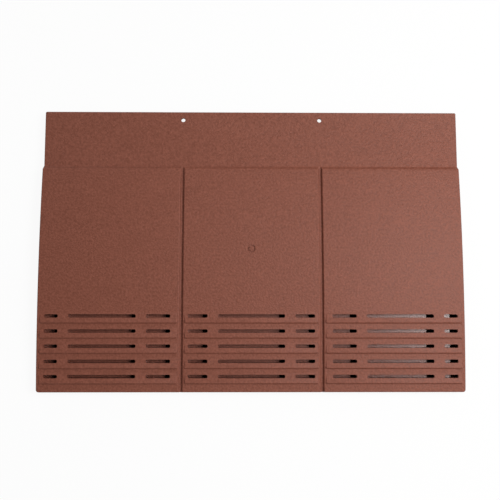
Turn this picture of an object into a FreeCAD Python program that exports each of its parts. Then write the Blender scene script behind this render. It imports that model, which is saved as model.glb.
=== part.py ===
import FreeCAD, Part
import math
import os

from FreeCAD import Vector

# Roof tile vent: one plastic moulding that takes the place of three plain tiles in a course.
# X runs across the slope, Y up the slope with the head at +Y, Z out of the weather face.
# The origin is under the middle of the tile, level with its tail skirt and its batten nibs.

# Overall sizes
width = 500.0
body_length = 265.0
flange_length = 70.0
tile_width = 165.0
end_height = 16.0
camber = 6.0
wall = 3.0

# Head flange, the step down to it and its nail holes
step_height = 3.0
step_run = 3.5
flange_inset = 1.0
nail_hole_d = 5.0
nail_hole_edge = 10.0
nib_width = 40.0
nib_thickness = 7.0
nib_spacing = 330.0

# Outline and edges
tail_corner_r = 3.0
head_corner_r = 1.0
face_edge_r = 1.2
side_skirt_depth = 12.0

# Joint grooves between the three tile faces
groove_width = 2.4
groove_depth = 3.0
groove_chamfer = 0.6
groove_head_gap = 1.0

# Louvres: a lip below each row of slots
row_count = 5
row_pitch = 17.5
tail_to_lip = 9.3
lip_to_slot = 9.0
lip_height = 2.0
lip_corner_r = 3.0
lip_nose = 1.5
lip_run = 16.5
lip_sink = 0.2
lip_groove_gap = 5.0
lip_edge_gap = 4.0

# Slots, from the middle of the tile out to its side edge
slot_width = 4.0
slot_end_bow = 0.6
bridge = 12.0
middle_short_slot = 23.0
middle_groove_gap = 8.3
inner_short_slot = 28.3
inner_groove_gap = 12.2
outer_short_slot = 16.0
outer_edge_gap = 8.5

# Trough under each slot, with a deep pocket that opens up the slope, and the weir behind the rows
slot_depth = 12.0
trough_wall = 2.0
pocket_length = 6.3
pocket_drop = 2.0
mouth_top_gap = 1.0
weir_gap = 5.0
weir_wall = 2.4
weir_depth = 14.5

# Ring left by the moulding gate in the middle of the face
gate_ring_d = 9.0
gate_ring_width = 2.0
gate_ring_depth = 0.4

# Sizes that follow
half_width = width / 2
length = body_length + flange_length
tail_y = -length / 2
head_y = length / 2
step_y = tail_y + body_length
flange_top = end_height - step_height
groove_x = tile_width / 2
camber_r = ((body_length / 2) ** 2 + camber ** 2) / (2 * camber)
camber_y = tail_y + body_length / 2
camber_z = end_height + camber - camber_r
pocket_depth = slot_depth + pocket_drop
lip_wall = (lip_height + wall) / 2
lip_rows = [tail_y + tail_to_lip + row * row_pitch for row in range(row_count)]
weir_y = lip_rows[-1] + lip_to_slot + weir_gap

# Overlap that lets one form run into the next, reach of cutters beyond a face, tolerance for finding edges
bite = 0.7
reach = 5.0
near = 0.01


def face_z(y, depth=0.0):
    """Height of the cambered face at y, or of the curve that lies depth below it."""
    return camber_z + math.sqrt((camber_r - depth) ** 2 - (y - camber_y) ** 2)


def face_point(y, depth=0.0, x=0.0):
    return Vector(x, y, face_z(y, depth))


def camber_arc(y_from, y_to, depth=0.0, x=0.0):
    """Arc along the slope, parallel to the face."""
    ends = face_point(y_from, depth, x), face_point(y_to, depth, x)
    return Part.Arc(ends[0], face_point((y_from + y_to) / 2, depth, x), ends[1]).toShape()


def camber_band(x_from, x_to, y_from, y_to, top, bottom):
    """Solid between two depths under the face that follows the camber along the slope."""
    edges = [
        camber_arc(y_from, y_to, top, x_from),
        Part.makeLine(face_point(y_to, top, x_from), face_point(y_to, bottom, x_from)),
        camber_arc(y_to, y_from, bottom, x_from),
        Part.makeLine(face_point(y_from, bottom, x_from), face_point(y_from, top, x_from)),
    ]
    return Part.Face(Part.Wire(edges)).extrude(Vector(x_to - x_from, 0, 0))


def box(x_from, x_to, y_from, y_to, z_from, z_to):
    size = x_to - x_from, y_to - y_from, z_to - z_from
    return Part.makeBox(*size, Vector(x_from, y_from, z_from))


def set_on_face(shape, y):
    """Turn a shape drawn on the XY plane so that it stands on the face at y."""
    slope = math.degrees(math.asin((camber_y - y) / camber_r))
    turn = FreeCAD.Rotation(Vector(1, 0, 0), slope)
    shape.Placement = FreeCAD.Placement(face_point(y), turn)
    return shape


def upright_edges(shape, y):
    """Upright edges of a prism that stand at y."""
    return [edge for edge in shape.Edges
            if abs(edge.CenterOfMass.y - y) < near and abs(edge.tangentAt(edge.FirstParameter).z) > 1 - near]


def plan_outline():
    """Upright prism of the outline, with its rounded tail corners and its narrower flange."""
    flange_half = half_width - flange_inset
    side = [
        (half_width, tail_y),
        (half_width, step_y),
        (flange_half, step_y + step_run),
        (flange_half, head_y),
    ]
    points = side + [(-x, y) for x, y in reversed(side)]
    corners = [Vector(x, y, -reach) for x, y in points]
    prism = Part.Face(Part.makePolygon(corners + corners[:1])).extrude(
        Vector(0, 0, end_height + camber + 2 * reach))
    prism = prism.makeFillet(tail_corner_r, upright_edges(prism, tail_y))
    return prism.makeFillet(head_corner_r, upright_edges(prism, head_y))


def sheet():
    """Flange, step, cambered body and tail skirt as one bent wall of even thickness."""
    flange_under = flange_top - wall
    bend = wall * (math.hypot(step_run, step_height) - step_run) / step_height
    inner_step_y = step_y - bend
    inner_tail_y = tail_y + wall
    outer = [
        Vector(-half_width, head_y, flange_under),
        Vector(-half_width, head_y, flange_top),
        Vector(-half_width, step_y + step_run, flange_top),
        face_point(step_y, 0, -half_width),
    ]
    tail = [
        face_point(tail_y, 0, -half_width),
        Vector(-half_width, tail_y, 0),
        Vector(-half_width, inner_tail_y, 0),
        face_point(inner_tail_y, wall, -half_width),
    ]
    inner = [
        face_point(inner_step_y, wall, -half_width),
        Vector(-half_width, step_y + step_run - bend, flange_under),
        outer[0],
    ]
    edges = Part.makePolygon(outer).Edges + [camber_arc(step_y, tail_y, 0, -half_width)]
    edges += Part.makePolygon(tail).Edges + [camber_arc(inner_tail_y, inner_step_y, wall, -half_width)]
    edges += Part.makePolygon(inner).Edges
    profile = Part.Face(Part.Wire(edges))
    return profile.extrude(Vector(width, 0, 0)).common(plan_outline())


def round_face_edge(shape):
    """Round the edge of the cambered face along both sides and round the tail."""
    def on_rim(edge):
        middle = edge.valueAt((edge.FirstParameter + edge.LastParameter) / 2)
        return middle.y < step_y - near and abs(middle.z - face_z(middle.y)) < near
    return shape.makeFillet(face_edge_r, [edge for edge in shape.Edges if on_rim(edge)])


def groove_cutter(x):
    """Chamfered slot along the joint of two tile faces, with a round end below the step."""
    half = groove_width / 2
    flare = half + groove_chamfer + reach
    section = [(-flare, reach), (-half, -groove_chamfer), (-half, -groove_depth)]
    end_y = step_y - groove_head_gap - half - groove_chamfer
    outline = section + [(-u, v) for u, v in reversed(section)]
    start = face_point(end_y)
    slope = math.asin((end_y - camber_y) / camber_r)
    up = Vector(0, math.sin(slope), math.cos(slope))
    across = Vector(1, 0, 0)

    def ring(points):
        corners = [start + across * u + up * v for u, v in points]
        return Part.Face(Part.makePolygon(corners + corners[:1]))

    sweep = math.degrees(slope + math.asin((camber_y - tail_y + reach) / camber_r))
    run = ring(outline).revolve(Vector(0, camber_y, camber_z), across, sweep)
    half_outline = section + [(0, -groove_depth), (0, reach)]
    end = ring(half_outline).revolve(start, up, 360)
    cutter = run.fuse(end)
    cutter.translate(Vector(x, 0, 0))
    return cutter


def lip_spans():
    """X range of the raised lips on the three tile faces."""
    middle = groove_x - lip_groove_gap
    inner = groove_x + lip_groove_gap
    outer = half_width - lip_edge_gap
    return [(-outer, -inner), (-middle, middle), (inner, outer)]


def slot_spans():
    """X range of every slot in a row."""
    middle_end = groove_x - middle_groove_gap
    middle_start = middle_end - middle_short_slot
    long_end = middle_start - bridge
    inner_start = groove_x + inner_groove_gap
    inner_end = inner_start + inner_short_slot
    outer_end = half_width - outer_edge_gap
    outer_start = outer_end - outer_short_slot
    right = [
        (middle_start, middle_end),
        (inner_start, inner_end),
        (inner_end + bridge, outer_start - bridge),
        (outer_start, outer_end),
    ]
    left = [(-b, -a) for a, b in reversed(right)]
    return left + [(-long_end, long_end)] + right


def lip_plate(x_from, x_to, lip_y):
    """Raised plate that falls from its lip to the face behind it, with a blunt nose and round corners."""
    plate = box(x_from, x_to, 0, lip_run, -lip_wall, 0)
    plate = plate.makeFillet(lip_corner_r, upright_edges(plate, 0))
    nose = [edge for edge in plate.Edges if edge.BoundBox.ZMin > -near and edge.BoundBox.YMax < near]
    plate = plate.makeChamfer(min(lip_nose, lip_wall - near), nose)
    crest = face_point(lip_y) + Vector(0, 0, lip_height)
    back_z = face_z(lip_y + lip_run, lip_sink)
    fall = math.degrees(math.atan2(back_z - crest.z, lip_run))
    plate.Placement = FreeCAD.Placement(crest, FreeCAD.Rotation(Vector(1, 0, 0), fall))
    return plate


def trough(x_from, x_to, y):
    """Trough that hangs under a slot, deeper where the slot ends in its pocket."""
    half = slot_width / 2 + trough_wall
    end = x_to + trough_wall
    gutter = box(x_from - trough_wall, end, -half, half, -slot_depth - trough_wall, -bite)
    well = box(x_to - pocket_length - trough_wall, end, -half, half, -pocket_depth - trough_wall, -bite)
    return [set_on_face(gutter, y), set_on_face(well, y)]


def slot_cutter(x_from, x_to, y):
    """Slot square through the face and its lip down to the floor of the trough, with bowed ends."""
    half = slot_width / 2
    left, right = x_from + slot_end_bow, x_to - slot_end_bow
    plan = [(left, half), (right, half), (right, -half), (left, -half)]
    corners = [Vector(x, v, -slot_depth) for x, v in plan]
    edges = [
        Part.makeLine(corners[0], corners[1]),
        Part.Arc(corners[1], Vector(x_to, 0, -slot_depth), corners[2]).toShape(),
        Part.makeLine(corners[2], corners[3]),
        Part.Arc(corners[3], Vector(x_from, 0, -slot_depth), corners[0]).toShape(),
    ]
    cutter = Part.Face(Part.Wire(edges)).extrude(Vector(0, 0, slot_depth + lip_height + reach))
    return set_on_face(cutter, y)


def pocket_cutter(x_to, y):
    """Pocket at the end of a trough, with a mouth that lets the air out of it up the slope."""
    half = slot_width / 2
    start, end = x_to - pocket_length, x_to - slot_end_bow
    pocket = box(start, end, -half, half, -pocket_depth, -slot_depth + bite)
    mouth = box(start, end, half - bite, half + trough_wall + bite, -pocket_depth, -wall - mouth_top_gap)
    return [set_on_face(pocket, y), set_on_face(mouth, y)]


def gate_ring():
    """Shallow ring groove in the middle of the face."""
    outer = Part.makeCylinder(gate_ring_d / 2, reach, Vector(0, 0, -gate_ring_depth))
    inner = Part.makeCylinder(gate_ring_d / 2 - gate_ring_width, reach, Vector(0, 0, -gate_ring_depth))
    return set_on_face(outer.cut(inner), 0.0)


def edge_forms():
    """Side skirts, the folds that carry the grooves, and the nibs that hook over the batten."""
    fold = groove_width / 2 + wall
    fold_y = tail_y + wall / 2, step_y - bite
    nib_half = nib_width / 2
    forms = []
    for side in (-1, 1):
        skirt = sorted((side * half_width, side * (half_width - wall)))
        joint = side * groove_x
        nib = side * nib_spacing / 2
        forms += [
            camber_band(*skirt, tail_y + tail_corner_r, step_y, wall - bite, side_skirt_depth),
            camber_band(joint - fold, joint + fold, *fold_y, bite, groove_depth + wall),
            box(nib - nib_half, nib + nib_half, head_y - nib_thickness, head_y, 0, flange_top - bite),
        ]
    return forms


def louvre_forms():
    """Lips on the face, the troughs that hang under the slots, and the weir."""
    inside = half_width - wall / 2
    forms = [camber_band(-inside, inside, weir_y, weir_y + weir_wall, bite, weir_depth)]
    for lip_y in lip_rows:
        forms += [lip_plate(*span, lip_y) for span in lip_spans()]
        for span in slot_spans():
            forms += trough(*span, lip_y + lip_to_slot)
    return forms


def cutters():
    """Grooves, nail holes, the gate ring, and every slot with its pocket."""
    tools = [gate_ring()]
    for joint in (-groove_x, groove_x):
        nail = Vector(joint, head_y - nail_hole_edge, 0)
        tools += [groove_cutter(joint), Part.makeCylinder(nail_hole_d / 2, end_height, nail)]
    for lip_y in lip_rows:
        slot_y = lip_y + lip_to_slot
        for x_from, x_to in slot_spans():
            tools += [slot_cutter(x_from, x_to, slot_y)] + pocket_cutter(x_to, slot_y)
    return tools


def vent_tile():
    moulding = round_face_edge(sheet()).multiFuse(edge_forms() + louvre_forms())
    return moulding.cut(cutters()).removeSplitter()


os.makedirs("parts", exist_ok=True)
vent_tile().exportStep("parts/vent_tile.step")
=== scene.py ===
import math
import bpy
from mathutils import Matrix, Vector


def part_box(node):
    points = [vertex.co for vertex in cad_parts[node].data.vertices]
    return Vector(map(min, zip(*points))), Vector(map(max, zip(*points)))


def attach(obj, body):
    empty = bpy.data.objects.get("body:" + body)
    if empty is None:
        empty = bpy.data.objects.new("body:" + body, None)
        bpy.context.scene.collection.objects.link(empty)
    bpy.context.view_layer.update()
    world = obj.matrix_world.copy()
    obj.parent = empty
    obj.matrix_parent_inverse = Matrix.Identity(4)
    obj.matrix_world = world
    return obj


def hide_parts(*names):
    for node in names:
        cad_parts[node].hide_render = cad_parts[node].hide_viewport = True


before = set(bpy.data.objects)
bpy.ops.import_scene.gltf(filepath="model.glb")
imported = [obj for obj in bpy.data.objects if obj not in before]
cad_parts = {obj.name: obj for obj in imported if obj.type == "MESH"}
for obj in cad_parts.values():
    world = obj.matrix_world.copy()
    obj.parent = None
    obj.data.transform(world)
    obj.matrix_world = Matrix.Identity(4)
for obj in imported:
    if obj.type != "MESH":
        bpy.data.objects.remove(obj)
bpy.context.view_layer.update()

from types import SimpleNamespace

import bmesh
import bpy
from bpy.props import FloatProperty, FloatVectorProperty, IntProperty, PointerProperty
from bpy.types import Operator, Panel, PropertyGroup
from mathutils import Matrix, Vector

bl_info = {
    "name": "Roof tile vent",
    "version": (1, 0, 0),
    "blender": (4, 5, 0),
    "location": "3D View > Sidebar > Tile Vent",
    "description": "Builds a moulded roof tile vent and the stage it is shown on",
    "category": "Object",
}

# How finely the curves are divided
strips = 60
step_strips = 10
lip_strips = 12
arc_steps = 5
slot_arc_steps = 6
hole_sides = 32
ring_sides = 48
sharp_angle = math.radians(35)

# How far helper solids sink into what they join, and stay clear of each other's faces
bite = 0.0007
clear = 0.00005

# How far cutters stand above the face, past the edges and below the floor
above = 0.006
past_edge = 0.010
below = 0.020

# Shape of the lips and of the groove ends, and the nibs' set-back from the head edge
lip_fall = 1.6
groove_reach = 0.85
nib_setback = 0.0002

floor_reach = 6.0
sensor_width = 36


def length(name, description, metres):
    """Property for a length of the moulding."""
    return FloatProperty(name=name, description=description, default=metres, precision=4, unit="LENGTH")


def tone(name, description, value):
    """Property for a colour of the finish."""
    return FloatVectorProperty(name=name, description=description, default=value, size=4,
                               subtype="COLOR", min=0, max=1)


def spot(name, description, value):
    """Property for a place on the stage."""
    return FloatVectorProperty(name=name, description=description, default=value, size=3,
                               subtype="TRANSLATION", unit="LENGTH")


def power(name, description, watts):
    """Property for the power of a lamp."""
    return FloatProperty(name=name, description=description, default=watts, min=0, unit="POWER")


class TileSizes(PropertyGroup):
    """Sizes of the moulding."""
    flange_length: length("Flange length", "Plain head part that the next course covers", 0.0712)
    tile_width: length("Tile width", "From groove to groove", 0.165)
    end_height: length("End height", "Face above the floor at the tail and at the step", 0.016)
    camber: length("Camber", "Rise of the face between its ends", 0.006)
    wall: length("Wall", "Thickness of the sheet", 0.003)
    step_height: length("Step height", "Drop from the face to the flange", 0.003)
    step_run: length("Step run", "Length of the sloping step", 0.0045)
    flange_inset: length("Flange inset", "Flange edge behind the body edge", 0.001)
    edge_radius: length("Edge radius", "Rounding of the face edge", 0.0012)
    tail_corner: length("Tail corner", "Plan radius of the tail corners", 0.003)
    head_corner: length("Head corner", "Plan radius of the head corners", 0.0014)
    skirt_depth: length("Skirt depth", "Depth of the side skirts under the face", 0.012)
    groove_width: length("Groove width", "Width of the joint grooves", 0.0039)
    groove_depth: length("Groove depth", "Depth of the joint grooves", 0.003)
    groove_edge: length("Groove edge", "Rounding of the groove edges", 0.0013)
    nail_hole: length("Nail hole", "Diameter of the nail holes", 0.005)
    nail_edge: length("Nail edge", "Nail hole to the head edge", 0.010)
    nib_width: length("Nib width", "Width of a batten nib", 0.040)
    nib_depth: length("Nib depth", "Depth of a batten nib along the slope", 0.007)
    nib_spacing: length("Nib spacing", "Between the middles of the nibs", 0.330)
    ring_diameter: length("Ring diameter", "Moulding mark in the middle of the face", 0.009)
    ring_width: length("Ring width", "Width of the moulding mark", 0.0016)
    ring_depth: length("Ring depth", "Depth of the moulding mark", 0.0012)


class LouvreSizes(PropertyGroup):
    """Sizes of the slotted field at the tail."""
    rows: IntProperty(name="Rows", description="Rows of slots", default=5, min=1)
    pitch: length("Pitch", "From row to row", 0.0175)
    tail_to_lip: length("Tail to lip", "Tail edge to the first lip", 0.0093)
    lip_to_slot: length("Lip to slot", "Lip to the middle of its slots", 0.009)
    lip_height: length("Lip height", "Lip above the face", 0.002)
    lip_run: length("Lip run", "Length of the fall behind the lip", 0.0165)
    lip_nose: length("Lip nose", "Rounding of the lip ends", 0.0011)
    lip_bevel: length("Lip bevel", "Depth and length of the bevel along the lip", 0.0017)
    lip_corner: length("Lip corner", "Plan radius of the lip corners", 0.002)
    lip_sink: length("Lip sink", "How far the back of the lip plate sinks in", 0.0002)
    lip_groove_gap: length("Lip to groove", "End of a lip to the groove", 0.0042)
    lip_edge_gap: length("Lip to edge", "End of a lip to the side edge", 0.0034)
    slot_width: length("Slot width", "Width of the slots", 0.004)
    slot_corner: length("Slot corner", "Rounding of the slot ends", 0.0015)
    bridge: length("Bridge", "Sheet left between two slots", 0.012)
    middle_short: length("Middle short slot", "Short slots of the middle tile", 0.023)
    middle_gap: length("Middle gap", "Middle tile's slots to the groove", 0.0083)
    inner_short: length("Inner short slot", "Short slots beside the grooves", 0.0283)
    inner_gap: length("Inner gap", "Outer tiles' slots to the groove", 0.0122)
    outer_short: length("Outer short slot", "Short slots beside the side edges", 0.016)
    outer_gap: length("Outer gap", "Outer slots to the side edge", 0.0085)
    trough_wall: length("Trough wall", "Thickness of the troughs under the slots", 0.002)
    slot_depth: length("Slot depth", "Floor of the troughs under the face", 0.012)
    pocket_drop: length("Pocket drop", "Pocket below the floor of its trough", 0.002)
    pocket_length: length("Pocket length", "Length of the pocket at the end of a slot", 0.0063)
    mouth_gap: length("Mouth gap", "Mouth of a pocket below the sheet", 0.001)
    weir_wall: length("Weir wall", "Thickness of the weir", 0.0024)
    weir_depth: length("Weir depth", "Weir under the face", 0.0145)
    weir_gap: length("Weir gap", "Last slots to the weir behind them", 0.005)


class FinishSettings(PropertyGroup):
    """Colours and grain of the moulding, and the near-black shade painted into the pockets."""
    dark: tone("Dark tone", "Darker tone of the grain", (0.168, 0.049, 0.028, 1))
    pale: tone("Pale tone", "Paler tone of the grain", (0.264, 0.085, 0.053, 1))
    # Painted shade: a near-black colour given to the pocket faces in place of the shade that falls in them
    pocket_painted_shade: tone("Pocket", "Colour inside the pockets", (0.012, 0.004, 0.003, 1))
    roughness: FloatProperty(name="Roughness", description="Least roughness of the face", default=0.5,
                             subtype="FACTOR", min=0, max=1)
    grain_scale: FloatProperty(name="Grain scale", description="Fineness of the grain", default=420, min=0)


class StageSettings(PropertyGroup):
    """Where the vent is looked at from, and how it is lit."""
    eye: spot("Eye", "Place of the camera", (-0.0127, -0.0960, 0.8850))
    aim: spot("Aim", "Point that the camera looks at", (-0.00166, -0.00061, 0.011))
    lens: FloatProperty(name="Lens", description="Focal length", default=53.07, unit="CAMERA")
    key_power: power("Key", "Large lamp at the right", 11.5)
    card_power: power("Card", "Lamp that the slot floors mirror", 2.5)
    fill_power: power("Fill", "Weak lamp behind the head", 1.6)


def layout(context):
    """Places worked out from the sizes and the frame's box."""
    tile = context.scene.vent_tile
    louvre = context.scene.vent_louvre
    low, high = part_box("vent_tile")
    place = SimpleNamespace(tile=tile, louvre=louvre)
    place.half = (high[0] - low[0]) / 2
    place.tail, place.head = low[1], high[1]
    place.step = place.head - tile.flange_length
    place.groove = tile.tile_width / 2
    place.groove_end = place.step + groove_reach * tile.step_run
    body = place.step - place.tail
    place.radius = (body ** 2 / 4 + tile.camber ** 2) / (2 * tile.camber)
    place.crown_y = (place.step + place.tail) / 2
    place.crown_z = tile.end_height + tile.camber
    place.first_slot = place.tail + louvre.tail_to_lip + louvre.lip_to_slot
    place.weir = place.first_slot + (louvre.rows - 1) * louvre.pitch + louvre.weir_gap
    middle_end = place.groove - louvre.middle_gap
    middle_start = middle_end - louvre.middle_short
    long_end = middle_start - louvre.bridge
    inner_start = place.groove + louvre.inner_gap
    inner_end = inner_start + louvre.inner_short
    outer_end = place.half - louvre.outer_gap
    outer_start = outer_end - louvre.outer_short
    right = [(middle_start, middle_end), (inner_start, inner_end),
             (inner_end + louvre.bridge, outer_start - louvre.bridge), (outer_start, outer_end)]
    left = [(-b, -a) for a, b in reversed(right)]
    place.slots = left + [(-long_end, long_end)] + right
    inner_lip = place.groove + louvre.lip_groove_gap
    outer_lip = place.half - louvre.lip_edge_gap
    middle_lip = place.groove - louvre.lip_groove_gap
    place.lips = [(-outer_lip, -inner_lip), (-middle_lip, middle_lip), (inner_lip, outer_lip)]
    return place


def face_height(place, y):
    """Height of the cambered face at y."""
    return place.crown_z - place.radius + math.sqrt(place.radius ** 2 - (y - place.crown_y) ** 2)


def sheet_height(place, y):
    """Height of the outside of the sheet at y: the face, the step and the flange."""
    run = (y - place.step) / place.tile.step_run
    if run <= 0:
        return face_height(place, y)
    eased = min(run, 1.0)
    eased = eased * eased * (3 - 2 * eased)
    return place.tile.end_height - place.tile.step_height * eased


def groove_height(place, y):
    """Height that the grooves are cut down from: the face, then level through the step."""
    return face_height(place, min(y, place.step))


def spaced(start, end, count):
    """Evenly spaced values from start to end."""
    return [start + (end - start) * k / count for k in range(count + 1)]


def loft(bm, rows, ring=False):
    """Joins rows of equally many points to a closed skin, round a ring or with a cap at each end."""
    loops = [[bm.verts.new(point) for point in row] for row in rows]
    count = len(rows[0])
    pairs = list(zip(loops, loops[1:])) + ([(loops[-1], loops[0])] if ring else [])
    for first, second in pairs:
        for i in range(count):
            j = (i + 1) % count
            bm.faces.new((first[i], first[j], second[j], second[i]))
    if not ring:
        bm.faces.new(loops[0])
        bm.faces.new(loops[-1])


def bar(bm, x_from, x_to, stations):
    """Bar with a square section; each station gives y, the top and the bottom."""
    loft(bm, [[(x_from, y, low), (x_from, y, top), (x_to, y, top), (x_to, y, low)]
              for y, top, low in stations])


def block(bm, x_from, x_to, y_from, y_to, z_from, z_to):
    """Plain block."""
    bar(bm, x_from, x_to, [(y_from, z_to, z_from), (y_to, z_to, z_from)])


def end_rounding(corner, edge):
    """Distance from a rounded end, side inset and drop of the top edge, from the end inwards."""
    shares = [1 - math.cos(a) for a in spaced(0, math.pi / 2, arc_steps)]
    steps = sorted({round(edge * s, 7) for s in shares} | {round(corner * s, 7) for s in shares})
    for step in steps:
        inset = corner - math.sqrt(max(corner ** 2 - max(corner - step, 0) ** 2, 0))
        drop = edge - math.sqrt(max(edge ** 2 - max(edge - step, 0) ** 2, 0))
        yield step, inset, drop


def rounded_slab(bm, x_from, x_to, stations, edge):
    """Slab with rounded upper side edges; each station gives y, top, bottom and side inset."""
    rows = []
    arc = [(1 - math.cos(a), 1 - math.sin(a)) for a in spaced(0, math.pi / 2, arc_steps)]
    for y, top, low, inset in stations:
        left = [(x_from + inset + edge * u, y, top - edge * v) for u, v in arc]
        right = [(x_to - inset - edge * u, y, top - edge * v) for u, v in reversed(arc)]
        rows.append([(x_from + inset, y, low)] + left + right + [(x_to - inset, y, low)])
    loft(bm, rows)


def mesh_object(context, name, make):
    """New object with the skins that make() adds, all facing outwards."""
    bm = bmesh.new()
    make(bm)
    bmesh.ops.recalc_face_normals(bm, faces=bm.faces)
    mesh = bpy.data.meshes.new(name)
    bm.to_mesh(mesh)
    bm.free()
    made = bpy.data.objects.new(name, mesh)
    context.collection.objects.link(made)
    return made


def is_closed(mesh):
    """Whether every edge of the mesh joins just two faces."""
    bm = bmesh.new()
    bm.from_mesh(mesh)
    closed = all(edge.is_manifold for edge in bm.edges)
    bm.free()
    return closed


def body_stations(place):
    """Stations of the sheet along its length, without the rounded ends."""
    tile = place.tile
    ys = spaced(place.tail + tile.tail_corner, place.step, strips)
    ys += spaced(place.step, place.step + tile.step_run, step_strips)[1:]
    return ys


def solid_body(place, bm):
    """Solid outside form of the sheet, down to the floor."""
    tile = place.tile
    stations = []
    for step, inset, drop in end_rounding(tile.tail_corner, tile.edge_radius):
        y = place.tail + step
        stations.append((y, sheet_height(place, y) - drop, 0.0, inset))
    for y in body_stations(place)[1:]:
        share = min(max((y - place.step) / tile.step_run, 0), 1)
        stations.append((y, sheet_height(place, y), 0.0, tile.flange_inset * share))
    for step, inset, drop in reversed(list(end_rounding(tile.head_corner, tile.edge_radius))):
        y = place.head - step
        stations.append((y, sheet_height(place, y) - drop, 0.0, tile.flange_inset + inset))
    rounded_slab(bm, -place.half, place.half, stations, tile.edge_radius)


def hollow(place, bm):
    """What is taken out: the hollow, the arch under the side skirts, and all under the flange.

    Each cutter goes a little deeper than the one before it, so that no two floors coincide.
    """
    tile = place.tile
    inside = place.half - tile.wall
    past = place.half + past_edge
    ys = body_stations(place)
    ys[0] = place.tail + tile.wall
    under = [y for y in ys if y <= place.step + 1e-6] + [place.step + bite]
    beyond = [y for y in ys if y >= place.step - 1e-6] + [place.head + past_edge]
    bar(bm, -inside, inside, [(y, face_height(place, y) - tile.wall, -below) for y in under])
    for side in (-1, 1):
        span = sorted((side * (inside - bite), side * past))
        bar(bm, *span, [(y, face_height(place, y) - tile.skirt_depth, -below * 1.1) for y in under])
    bar(bm, -past, past, [(y, sheet_height(place, y) - tile.wall, -below * 1.2) for y in beyond])


def under_forms(place, bm):
    """Folds that carry the grooves, the weir behind the slots and the batten nibs."""
    tile, louvre = place.tile, place.louvre
    inside = place.half - tile.wall / 2
    fold = tile.groove_width / 2 + tile.wall
    ys = spaced(place.tail + tile.wall / 2, place.step, strips) + [place.groove_end]
    for side in (-1, 1):
        x = side * place.groove
        bar(bm, x - fold, x + fold, [(y, sheet_height(place, y) - bite,
                                      groove_height(place, y) - tile.groove_depth - tile.wall) for y in ys])
        x = side * tile.nib_spacing / 2
        block(bm, x - tile.nib_width / 2, x + tile.nib_width / 2,
              place.head - tile.nib_depth, place.head - nib_setback,
              0.0, tile.end_height - tile.step_height - bite)
    top = face_height(place, place.weir)
    block(bm, -inside, inside, place.weir, place.weir + louvre.weir_wall, top - louvre.weir_depth, top - bite)


def louvre_row(place, bm):
    """Lips of one row and the troughs under its slots, about the middle line of the slots."""
    louvre = place.louvre
    nose = -louvre.lip_to_slot
    root = -place.tile.wall / 2

    def lip_top(step):
        left = 1 - step / louvre.lip_run
        return (louvre.lip_height + louvre.lip_sink) * left ** lip_fall - louvre.lip_sink

    for x_from, x_to in place.lips:
        stations = []
        for step, inset, _ in end_rounding(louvre.lip_corner, louvre.lip_bevel):
            drop = max(louvre.lip_bevel - step, 0)
            stations.append((nose + step, lip_top(step) - drop, root, inset))
        for step in spaced(louvre.lip_corner, louvre.lip_run, lip_strips)[1:]:
            stations.append((nose + step, lip_top(step), root, 0.0))
        rounded_slab(bm, x_from, x_to, stations, louvre.lip_nose)
    wall = louvre.trough_wall
    half = louvre.slot_width / 2 + wall
    well = louvre.slot_depth + louvre.pocket_drop + wall
    for x_from, x_to in place.slots:
        end = x_to + wall
        block(bm, x_from - wall, end, -half, half, -louvre.slot_depth - wall, -bite)
        block(bm, x_to - louvre.pocket_length - wall, end - clear, clear - half, half - clear,
              -well, -bite - clear)


def slot_row(place, bm):
    """Slots of one row down to their flat floors, each with a pocket at its end and a mouth up the slope."""
    louvre = place.louvre
    half = louvre.slot_width / 2
    r = louvre.slot_corner
    deep = louvre.slot_depth + louvre.pocket_drop
    corners = ((1, 1, 0), (-1, 1, 90), (-1, -1, 180), (1, -1, 270))
    for x_from, x_to in place.slots:
        middle, straight = (x_from + x_to) / 2, (x_to - x_from) / 2 - r
        outline = []
        for side, edge, start in corners:
            for angle in spaced(math.radians(start), math.radians(start + 90), slot_arc_steps):
                outline.append((middle + side * straight + r * math.cos(angle),
                                edge * (half - r) + r * math.sin(angle)))
        loft(bm, [[(x, y, z) for x, y in outline] for z in (-louvre.slot_depth, above)])
    # pocket_shade marks the pocket faces, which the material paints near-black as shade; slot_finish marks
    # the slot faces for a glossier coat
    dark = bm.faces.layers.float.new("pocket_shade")
    smooth = bm.faces.layers.float.new("slot_finish")
    slots = set(bm.faces)
    for x_from, x_to in place.slots:
        start, end = x_to - louvre.pocket_length, x_to + clear
        block(bm, start, end, -half - clear, half + clear, -deep, -place.tile.wall)
        block(bm, start + clear, end - clear, half - bite, half + louvre.trough_wall + bite, clear - deep,
              -place.tile.wall - louvre.mouth_gap)
    for face in bm.faces:
        face[smooth] = 1.0 if face in slots else 0.0
        face[dark] = 0.0 if face in slots else 1.0


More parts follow.
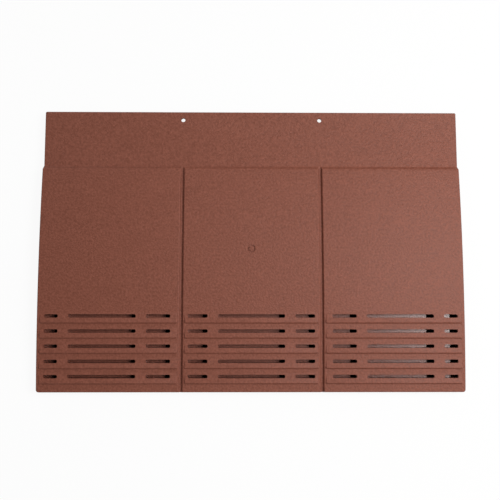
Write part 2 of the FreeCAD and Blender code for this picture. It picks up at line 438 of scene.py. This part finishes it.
def face_cuts(place, bm):
    """Joint grooves, nail holes and the moulding mark."""
    tile = place.tile
    half, edge = tile.groove_width / 2, tile.groove_edge
    flank = [(half + edge + edge * math.cos(a), -edge + edge * math.sin(a))
             for a in spaced(math.pi / 2, math.pi, arc_steps)]
    floor = [(half - edge + edge * math.cos(a), -tile.groove_depth + edge + edge * math.sin(a))
             for a in spaced(0, -math.pi / 2, arc_steps)]
    right = [(half + edge, above)] + flank + floor
    section = right + [(-x, z) for x, z in reversed(right)]
    ys = spaced(place.tail - bite, place.step, strips) + [place.groove_end]
    top = tile.end_height - tile.step_height
    for side in (-1, 1):
        x = side * place.groove
        loft(bm, [[(x + u, y, groove_height(place, y) + v) for u, v in section] for y in ys])
        y = place.head - tile.nail_edge
        circle = [(x + tile.nail_hole / 2 * math.cos(a), y + tile.nail_hole / 2 * math.sin(a))
                  for a in spaced(0, 2 * math.pi, hole_sides)[:-1]]
        loft(bm, [[(u, v, z) for u, v in circle] for z in (top - 2 * tile.wall, top + tile.wall)])
    outer = tile.ring_diameter / 2
    inner = outer - tile.ring_width
    slope = -math.asin(-place.crown_y / place.radius)
    turn = Matrix.Translation((0, 0, face_height(place, 0))) @ Matrix.Rotation(slope, 4, "X")
    rows = []
    for a in spaced(0, 2 * math.pi, ring_sides)[:-1]:
        out = Vector((math.cos(a), math.sin(a), 0))
        rows.append([turn @ (out * r + Vector((0, 0, z))) for r, z in
                     ((inner, above), (inner, -tile.ring_depth), (outer, -tile.ring_depth), (outer, above))])
    loft(bm, rows, ring=True)


def add_node(tree, kind, x, y, **values):
    """Adds a node; values are attributes of the node or default values of its inputs."""
    node = tree.nodes.new(kind)
    node.location = (x, y)
    for key, value in values.items():
        if hasattr(node, key):
            setattr(node, key, value)
        else:
            node.inputs[key].default_value = value
    return node


def add_sockets(tree, in_out, kind, *names):
    """Adds sockets of one kind to a node group."""
    for name in names:
        tree.interface.new_socket(name, in_out=in_out, socket_type=kind)


def camber_group():
    """Node group: height and slope of the camber at each point's Y."""
    tree = bpy.data.node_groups.new("Camber at Y", "GeometryNodeTree")
    add_sockets(tree, "INPUT", "NodeSocketFloat", "Radius", "Crown Y", "Crown Z")
    add_sockets(tree, "OUTPUT", "NodeSocketFloat", "Height", "Slope")
    given = add_node(tree, "NodeGroupInput", -800, 0)
    place = add_node(tree, "GeometryNodeInputPosition", -800, -200)
    split = add_node(tree, "ShaderNodeSeparateXYZ", -600, -200)
    away = add_node(tree, "ShaderNodeMath", -400, -200, operation="SUBTRACT")
    ratio = add_node(tree, "ShaderNodeMath", -200, -200, operation="DIVIDE")
    lean = add_node(tree, "ShaderNodeMath", 0, -300, operation="ARCSINE")
    upright = add_node(tree, "ShaderNodeMath", 200, -150, operation="COSINE")
    drop = add_node(tree, "ShaderNodeMath", 400, -100, operation="SUBTRACT")
    drop.inputs[1].default_value = 1.0
    height = add_node(tree, "ShaderNodeMath", 600, 0, operation="MULTIPLY_ADD")
    out = add_node(tree, "NodeGroupOutput", 800, 0)
    link = tree.links.new
    link(place.outputs["Position"], split.inputs["Vector"])
    link(given.outputs["Crown Y"], away.inputs[0])
    link(split.outputs["Y"], away.inputs[1])
    link(away.outputs["Value"], ratio.inputs[0])
    link(given.outputs["Radius"], ratio.inputs[1])
    link(ratio.outputs["Value"], lean.inputs[0])
    link(lean.outputs["Value"], upright.inputs[0])
    link(upright.outputs["Value"], drop.inputs[0])
    link(drop.outputs["Value"], height.inputs[0])
    link(given.outputs["Radius"], height.inputs[1])
    link(given.outputs["Crown Z"], height.inputs[2])
    link(height.outputs["Value"], out.inputs["Height"])
    link(lean.outputs["Value"], out.inputs["Slope"])
    return tree


def moulding_tree():
    """Node tree that hollows the body, sets the louvre rows on the camber and cuts the slots."""
    tree = bpy.data.node_groups.new("Vent moulding", "GeometryNodeTree")
    objects = ("Hollow", "Under forms", "Louvre row", "Slot row", "Face cuts")
    add_sockets(tree, "INPUT", "NodeSocketGeometry", "Geometry")
    add_sockets(tree, "INPUT", "NodeSocketObject", *objects)
    add_sockets(tree, "INPUT", "NodeSocketInt", "Rows")
    add_sockets(tree, "INPUT", "NodeSocketFloat", "Pitch", "First row", "Camber radius", "Crown Y", "Crown Z",
                "Sharp angle")
    add_sockets(tree, "INPUT", "NodeSocketMaterial", "Material")
    add_sockets(tree, "OUTPUT", "NodeSocketGeometry", "Geometry")
    link = tree.links.new
    given = add_node(tree, "NodeGroupInput", -1400, 0)
    info = {}
    for k, name in enumerate(objects):
        info[name] = add_node(tree, "GeometryNodeObjectInfo", -1150, 250 - 220 * k,
                              transform_space="ORIGINAL")
        link(given.outputs[name], info[name].inputs["Object"])

    # Points of the rows, lifted onto the camber
    start = add_node(tree, "ShaderNodeCombineXYZ", -1150, 600)
    step = add_node(tree, "ShaderNodeCombineXYZ", -1150, 450)
    link(given.outputs["First row"], start.inputs["Y"])
    link(given.outputs["Pitch"], step.inputs["Y"])
    line = add_node(tree, "GeometryNodeMeshLine", -900, 650, mode="OFFSET")
    link(given.outputs["Rows"], line.inputs["Count"])
    link(start.outputs["Vector"], line.inputs["Start Location"])
    link(step.outputs["Vector"], line.inputs["Offset"])
    camber = add_node(tree, "GeometryNodeGroup", -900, 400, node_tree=camber_group())
    link(given.outputs["Camber radius"], camber.inputs["Radius"])
    link(given.outputs["Crown Y"], camber.inputs["Crown Y"])
    link(given.outputs["Crown Z"], camber.inputs["Crown Z"])
    lift = add_node(tree, "ShaderNodeCombineXYZ", -700, 450)
    lean = add_node(tree, "ShaderNodeCombineXYZ", -700, 300)
    link(camber.outputs["Height"], lift.inputs["Z"])
    link(camber.outputs["Slope"], lean.inputs["X"])
    raised = add_node(tree, "GeometryNodeSetPosition", -500, 650)
    link(line.outputs["Mesh"], raised.inputs["Geometry"])
    link(lift.outputs["Vector"], raised.inputs["Offset"])

    def on_each_row(name, y):
        copies = add_node(tree, "GeometryNodeInstanceOnPoints", -250, y)
        link(raised.outputs["Geometry"], copies.inputs["Points"])
        link(info[name].outputs["Geometry"], copies.inputs["Instance"])
        link(lean.outputs["Vector"], copies.inputs["Rotation"])
        real = add_node(tree, "GeometryNodeRealizeInstances", -50, y)
        link(copies.outputs["Instances"], real.inputs["Geometry"])
        return real.outputs["Geometry"]

    def cut_from(x, y):
        cut = add_node(tree, "GeometryNodeMeshBoolean", x, y, operation="DIFFERENCE", solver="EXACT")
        cut.inputs["Self Intersection"].default_value = True
        return cut

    # The shell with all that is added to it, then all that is cut out
    shell = cut_from(150, 400)
    link(given.outputs["Geometry"], shell.inputs["Mesh 1"])
    link(info["Hollow"].outputs["Geometry"], shell.inputs["Mesh 2"])
    solids = add_node(tree, "GeometryNodeJoinGeometry", 350, 250)
    for part in (shell.outputs["Mesh"], info["Under forms"].outputs["Geometry"],
                 on_each_row("Louvre row", 150)):
        link(part, solids.inputs["Geometry"])
    tools = add_node(tree, "GeometryNodeJoinGeometry", 350, -100)
    for part in (info["Face cuts"].outputs["Geometry"], on_each_row("Slot row", -150)):
        link(part, tools.inputs["Geometry"])
    cut = cut_from(550, 150)
    link(solids.outputs["Geometry"], cut.inputs["Mesh 1"])
    link(tools.outputs["Geometry"], cut.inputs["Mesh 2"])

    # Smooth shading, but for sharp edges and the rims of the cuts
    angle = add_node(tree, "GeometryNodeInputMeshEdgeAngle", 550, -250)
    gentle = add_node(tree, "FunctionNodeCompare", 750, -250, data_type="FLOAT", operation="LESS_THAN")
    link(angle.outputs["Unsigned Angle"], gentle.inputs[0])
    link(given.outputs["Sharp angle"], gentle.inputs[1])
    crease = add_node(tree, "FunctionNodeBooleanMath", 750, -50, operation="NOT")
    link(cut.outputs["Intersecting Edges"], crease.inputs[0])
    soft = add_node(tree, "FunctionNodeBooleanMath", 950, -100, operation="AND")
    link(gentle.outputs["Result"], soft.inputs[0])
    link(crease.outputs["Boolean"], soft.inputs[1])
    faces = add_node(tree, "GeometryNodeSetShadeSmooth", 950, 200, domain="FACE")
    link(cut.outputs["Mesh"], faces.inputs["Geometry"])
    edges = add_node(tree, "GeometryNodeSetShadeSmooth", 1150, 200, domain="EDGE")
    link(faces.outputs["Geometry"], edges.inputs["Geometry"])
    link(soft.outputs["Boolean"], edges.inputs["Shade Smooth"])
    real = add_node(tree, "GeometryNodeRealizeInstances", 1350, 200)
    link(edges.outputs["Geometry"], real.inputs["Geometry"])
    finish = add_node(tree, "GeometryNodeSetMaterial", 1550, 200)
    link(real.outputs["Geometry"], finish.inputs["Geometry"])
    link(given.outputs["Material"], finish.inputs["Material"])
    out = add_node(tree, "NodeGroupOutput", 1750, 200)
    link(finish.outputs["Geometry"], out.inputs["Geometry"])
    return tree


def set_inputs(modifier, values):
    """Sets a node modifier's inputs by their identifiers."""
    for item in modifier.node_group.interface.items_tree:
        if item.in_out == "INPUT" and item.name in values:
            modifier[item.identifier] = values[item.name]


def grain_group():
    """Shader group: colour, roughness and height of a finely grained moulding."""
    tree = bpy.data.node_groups.new("Moulded grain", "ShaderNodeTree")
    add_sockets(tree, "INPUT", "NodeSocketColor", "Colour", "Pale colour")
    add_sockets(tree, "INPUT", "NodeSocketFloat", "Roughness", "Grain scale")
    add_sockets(tree, "OUTPUT", "NodeSocketColor", "Colour")
    add_sockets(tree, "OUTPUT", "NodeSocketFloat", "Roughness", "Height")
    link = tree.links.new
    given = add_node(tree, "NodeGroupInput", -900, 0)
    where = add_node(tree, "ShaderNodeTexCoord", -900, -250)
    grain = add_node(tree, "ShaderNodeTexNoise", -650, -100, Detail=3.0, Roughness=0.6)
    cloud = add_node(tree, "ShaderNodeTexNoise", -650, -400, Scale=45.0, Detail=2.0)
    link(where.outputs["Object"], grain.inputs["Vector"])
    link(where.outputs["Object"], cloud.inputs["Vector"])
    link(given.outputs["Grain scale"], grain.inputs["Scale"])
    blend = add_node(tree, "ShaderNodeMix", -400, -250, data_type="FLOAT")
    blend.inputs["Factor"].default_value = 0.10
    link(grain.outputs["Fac"], blend.inputs["A"])
    link(cloud.outputs["Fac"], blend.inputs["B"])
    spread = add_node(tree, "ShaderNodeMapRange", -200, -250)
    spread.inputs["From Min"].default_value = 0.3
    spread.inputs["From Max"].default_value = 0.7
    link(blend.outputs["Result"], spread.inputs["Value"])
    mixed = add_node(tree, "ShaderNodeMix", 50, 100, data_type="RGBA")
    link(spread.outputs["Result"], mixed.inputs["Factor"])
    link(given.outputs["Colour"], mixed.inputs["A"])
    link(given.outputs["Pale colour"], mixed.inputs["B"])
    rough = add_node(tree, "ShaderNodeMath", 50, -150, operation="MULTIPLY_ADD")
    rough.inputs[1].default_value = 0.10
    link(spread.outputs["Result"], rough.inputs[0])
    link(given.outputs["Roughness"], rough.inputs[2])
    out = add_node(tree, "NodeGroupOutput", 300, 0)
    link(mixed.outputs["Result"], out.inputs["Colour"])
    link(rough.outputs["Value"], out.inputs["Roughness"])
    link(grain.outputs["Fac"], out.inputs["Height"])
    return tree


def terracotta_plastic(finish):
    """Matt terracotta plastic: a fine grain outside, smoother slots, and pockets painted near-black as shade.
    """
    material = bpy.data.materials.new("Terracotta plastic")
    material.use_nodes = True
    tree = material.node_tree
    link = tree.links.new
    shader = tree.nodes["Principled BSDF"]
    shader.inputs["Specular IOR Level"].default_value = 0.3
    shader.inputs["Coat Roughness"].default_value = 0.27
    grain = add_node(tree, "ShaderNodeGroup", -600, 0, node_tree=grain_group())
    grain.inputs["Colour"].default_value = finish.dark
    grain.inputs["Pale colour"].default_value = finish.pale
    grain.inputs["Roughness"].default_value = finish.roughness
    grain.inputs["Grain scale"].default_value = finish.grain_scale
    inside = add_node(tree, "ShaderNodeAttribute", -600, -300, attribute_name="slot_finish")
    # The pocket faces are painted near-black as shade and made fully matt
    pocket_painted_shade = add_node(tree, "ShaderNodeAttribute", -600, 250, attribute_name="pocket_shade")
    shade = add_node(tree, "ShaderNodeMix", -300, 250, data_type="RGBA")
    shade.inputs["B"].default_value = finish.pocket_painted_shade
    link(pocket_painted_shade.outputs["Fac"], shade.inputs["Factor"])
    link(grain.outputs["Colour"], shade.inputs["A"])
    matt = add_node(tree, "ShaderNodeMix", -300, 0, data_type="FLOAT")
    matt.inputs["B"].default_value = 1.0
    link(pocket_painted_shade.outputs["Fac"], matt.inputs["Factor"])
    link(grain.outputs["Roughness"], matt.inputs["A"])
    bump = add_node(tree, "ShaderNodeBump", -300, -200, Strength=0.9, Distance=0.0007)
    link(shade.outputs["Result"], shader.inputs["Base Color"])
    link(matt.outputs["Result"], shader.inputs["Roughness"])
    link(inside.outputs["Fac"], shader.inputs["Coat Weight"])
    link(grain.outputs["Height"], bump.inputs["Height"])
    link(bump.outputs["Normal"], shader.inputs["Normal"])
    return material


class VENT_OT_moulding(Operator):
    """Build the moulded vent"""
    bl_idname = "vent.moulding"
    bl_label = "Build moulding"

    def execute(self, context):
        place = layout(context)
        louvre = place.louvre
        parts = {
            "Hollow": hollow, "Under forms": under_forms, "Louvre row": louvre_row,
            "Slot row": slot_row, "Face cuts": face_cuts,
        }
        helpers = {name: mesh_object(context, name, lambda bm, make=make: make(place, bm))
                   for name, make in parts.items()}
        blank = mesh_object(context, "Body blank", lambda bm: solid_body(place, bm))
        modifier = blank.modifiers.new("Moulding", "NODES")
        modifier.node_group = moulding_tree()
        values = dict(helpers)
        values.update({"Rows": louvre.rows, "Pitch": louvre.pitch, "First row": place.first_slot,
                       "Camber radius": place.radius, "Crown Y": place.crown_y, "Crown Z": place.crown_z,
                       "Sharp angle": sharp_angle,
                       "Material": terracotta_plastic(context.scene.vent_finish)})
        set_inputs(modifier, values)
        graph = context.evaluated_depsgraph_get()
        mesh = bpy.data.meshes.new_from_object(blank.evaluated_get(graph))
        mesh.name = "vent_moulding"
        if not is_closed(mesh):
            raise RuntimeError("The moulding is not a closed solid")
        for helper in list(helpers.values()) + [blank]:
            old = helper.data
            bpy.data.objects.remove(helper)
            bpy.data.meshes.remove(old)
        piece = bpy.data.objects.new("vent_moulding", mesh)
        context.collection.objects.link(piece)
        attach(piece, "root")
        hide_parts("vent_tile")
        return {"FINISHED"}


def area_light(context, name, place, aim, size, energy):
    """Soft rectangular light at a place, turned to a point."""
    light = bpy.data.lights.new(name, "AREA")
    light.shape = "RECTANGLE"
    light.size, light.size_y = size
    light.energy = energy
    lamp = bpy.data.objects.new(name, light)
    lamp.location = place
    lamp.rotation_euler = (Vector(aim) - Vector(place)).to_track_quat("-Z", "Y").to_euler()
    context.collection.objects.link(lamp)


def pale_floor():
    """Pale floor that the camera sees as white but for the vent's shadow."""
    material = bpy.data.materials.new("Pale floor")
    material.use_nodes = True
    tree = material.node_tree
    link = tree.links.new
    shader = tree.nodes["Principled BSDF"]
    shader.inputs["Base Color"].default_value = (0.85, 0.85, 0.84, 1)
    shader.inputs["Roughness"].default_value = 0.9
    shader.inputs["Specular IOR Level"].default_value = 0.1
    path = add_node(tree, "ShaderNodeLightPath", -200, -600)
    seen = add_node(tree, "ShaderNodeMath", 0, -400, operation="MULTIPLY")
    seen.inputs[1].default_value = 0.93
    link(path.outputs["Is Camera Ray"], seen.inputs[0])
    white = add_node(tree, "ShaderNodeEmission", 0, -600, Color=(1, 1, 1, 1), Strength=1.0)
    mix = add_node(tree, "ShaderNodeMixShader", 300, 0)
    link(seen.outputs["Value"], mix.inputs["Fac"])
    link(shader.outputs["BSDF"], mix.inputs[1])
    link(white.outputs["Emission"], mix.inputs[2])
    link(mix.outputs["Shader"], tree.nodes["Material Output"].inputs["Surface"])
    return material


def studio_world():
    """White surroundings with a dark ceiling, full white where the camera sees them."""
    world = bpy.data.worlds.new("Studio")
    world.use_nodes = True
    tree = world.node_tree
    link = tree.links.new
    ground = tree.nodes["Background"]
    ground.inputs["Color"].default_value = (1, 1, 1, 1)
    where = add_node(tree, "ShaderNodeTexCoord", -800, -200)
    split = add_node(tree, "ShaderNodeSeparateXYZ", -600, -200)
    ceiling = add_node(tree, "ShaderNodeMapRange", -400, -200)
    ceiling.inputs["From Min"].default_value = 0.75
    ceiling.inputs["From Max"].default_value = 0.90
    ceiling.inputs["To Min"].default_value = 0.42
    ceiling.inputs["To Max"].default_value = 0.08
    path = add_node(tree, "ShaderNodeLightPath", -400, 200)
    level = add_node(tree, "ShaderNodeMix", -200, 0, data_type="FLOAT")
    level.inputs["B"].default_value = 1.0
    link(where.outputs["Generated"], split.inputs["Vector"])
    link(split.outputs["Z"], ceiling.inputs["Value"])
    link(path.outputs["Is Camera Ray"], level.inputs["Factor"])
    link(ceiling.outputs["Result"], level.inputs["A"])
    link(level.outputs["Result"], ground.inputs["Strength"])
    return world


class VENT_OT_stage(Operator):
    """Set the floor, the lights and the camera"""
    bl_idname = "vent.stage"
    bl_label = "Set stage"

    def execute(self, context):
        stage = context.scene.vent_stage
        mesh = bpy.data.meshes.new("Floor")
        mesh.from_pydata([(-floor_reach, -floor_reach, 0), (floor_reach, -floor_reach, 0),
                          (floor_reach, floor_reach, 0), (-floor_reach, floor_reach, 0)],
                         [], [(0, 1, 2, 3)])
        mesh.materials.append(pale_floor())
        floor = bpy.data.objects.new("Floor", mesh)
        context.collection.objects.link(floor)
        context.scene.world = studio_world()
        area_light(context, "Key", (0.70, 0.08, 1.05), (0.05, -0.05, 0), (0.60, 0.60), stage.key_power)
        area_light(context, "Card", (0.72, -0.03, 1.20), (0.10, -0.08, 0), (0.45, 0.30), stage.card_power)
        area_light(context, "Fill", (-0.60, 1.10, 0.60), (-0.15, 0.08, 0), (0.40, 0.40), stage.fill_power)

        camera = bpy.data.cameras.new("Camera")
        camera.lens = stage.lens
        camera.sensor_width = sensor_width
        eye = bpy.data.objects.new("Camera", camera)
        back = (Vector(stage.eye) - Vector(stage.aim)).normalized()
        right = Vector((0, 1, 0)).cross(back).normalized()
        turn = Matrix((right, back.cross(right), back)).transposed()
        eye.matrix_world = Matrix.Translation(stage.eye) @ turn.to_4x4()
        context.collection.objects.link(eye)
        context.scene.camera = eye
        context.scene.view_settings.view_transform = "Standard"
        return {"FINISHED"}


class VENT_PT_panel(Panel):
    """Sidebar panel of the vent"""
    bl_idname = "VENT_PT_panel"
    bl_label = "Roof tile vent"
    bl_space_type = "VIEW_3D"
    bl_region_type = "UI"
    bl_category = "Tile Vent"

    def draw(self, context):
        self.layout.operator(VENT_OT_moulding.bl_idname)
        self.layout.operator(VENT_OT_stage.bl_idname)


classes = (TileSizes, LouvreSizes, FinishSettings, StageSettings,
           VENT_OT_moulding, VENT_OT_stage, VENT_PT_panel)


def register():
    for item in classes:
        bpy.utils.register_class(item)
    bpy.types.Scene.vent_tile = PointerProperty(type=TileSizes)
    bpy.types.Scene.vent_louvre = PointerProperty(type=LouvreSizes)
    bpy.types.Scene.vent_finish = PointerProperty(type=FinishSettings)
    bpy.types.Scene.vent_stage = PointerProperty(type=StageSettings)


def unregister():
    del bpy.types.Scene.vent_stage
    del bpy.types.Scene.vent_finish
    del bpy.types.Scene.vent_louvre
    del bpy.types.Scene.vent_tile
    for item in reversed(classes):
        bpy.utils.unregister_class(item)


def main():
    register()
    bpy.ops.vent.moulding()
    bpy.ops.vent.stage()


if __name__ == "__main__":
    main()
